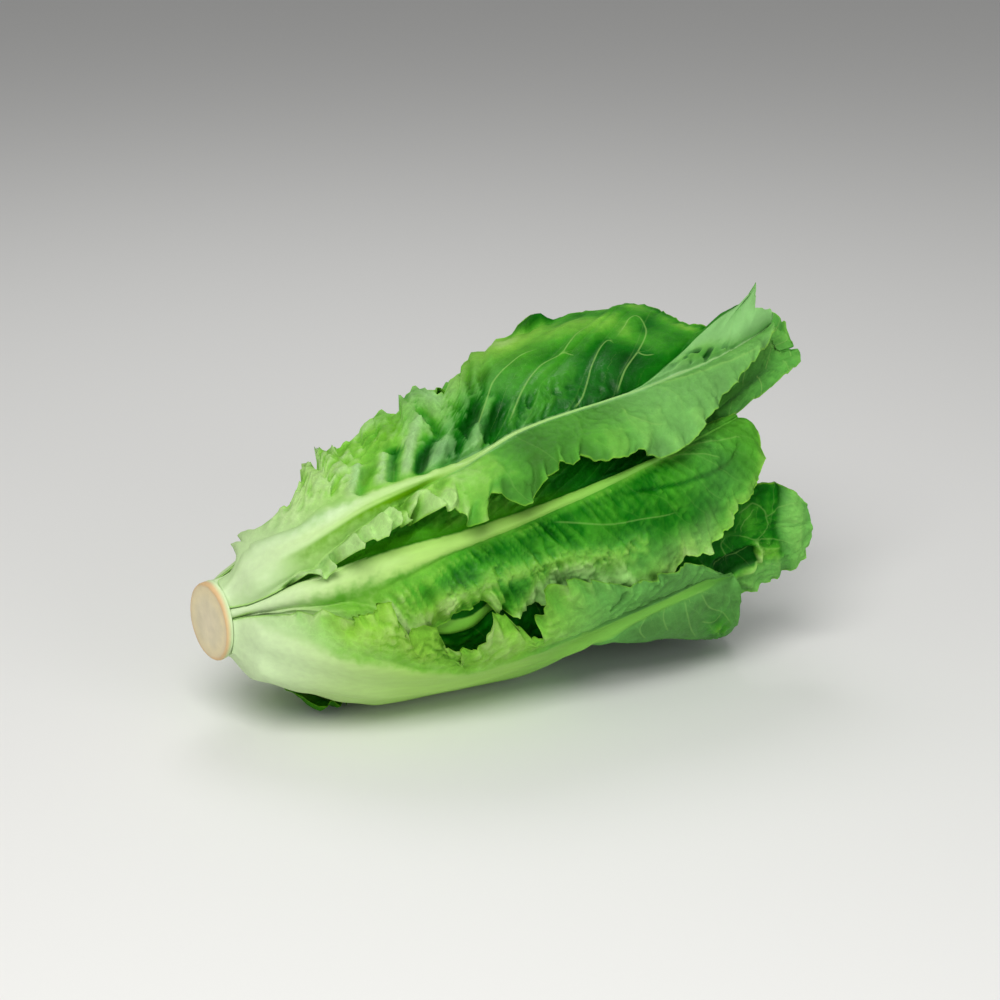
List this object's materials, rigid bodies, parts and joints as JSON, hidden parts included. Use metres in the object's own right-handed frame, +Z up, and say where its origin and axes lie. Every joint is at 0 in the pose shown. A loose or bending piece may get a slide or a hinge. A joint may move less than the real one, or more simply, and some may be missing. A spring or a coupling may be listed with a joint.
{
  "type": "romaine lettuce head",
  "caption": "Head of romaine lettuce lying on its side: a cut stem carrying overlapping rings of long ribbed green leaves with ruffled margins.",
  "frame": {"origin": "middle of the head's box, on the surface it lies on", "axes": "+X along the head from the cut stem to the leaf tips, +Z up, -Y towards the side with the long centre rib"},
  "size_m": [0.2984, 0.1664, 0.1732],
  "materials": {
    "stem_flesh": "matte cut flesh with a browned rim",
    "outer_leaf": "soft satin leaf with a pale rib",
    "second_ring_leaf": "soft satin leaf with a pale rib",
    "inner_leaf": "soft satin pale leaf",
    "heart_leaf": "soft satin yellow-green leaf"
  },
  "bodies": {
    "root": {"stem": "stem_flesh", "outer_back_low_leaf": "outer_leaf", "lower_front_leaf": "outer_leaf", "upper_front_leaf": "outer_leaf", "outer_back_leaf": "outer_leaf", "outer_top_leaf": "outer_leaf", "centre_front_leaf": "outer_leaf", "mid_front_low_leaf": "second_ring_leaf", "mid_top_leaf": "second_ring_leaf", "mid_bottom_leaf": "second_ring_leaf", "mid_back_low_leaf": "second_ring_leaf", "mid_back_leaf": "second_ring_leaf", "mid_back_top_leaf": "second_ring_leaf", "inner_1_leaf": "inner_leaf", "inner_2_leaf": "inner_leaf", "inner_3_leaf": "inner_leaf", "inner_4_leaf": "inner_leaf", "inner_5_leaf": "inner_leaf", "inner_6_leaf": "inner_leaf", "heart_1_leaf": "heart_leaf", "heart_2_leaf": "heart_leaf", "heart_3_leaf": "heart_leaf", "heart_4_leaf": "heart_leaf"}
  },
  "joints": []
}
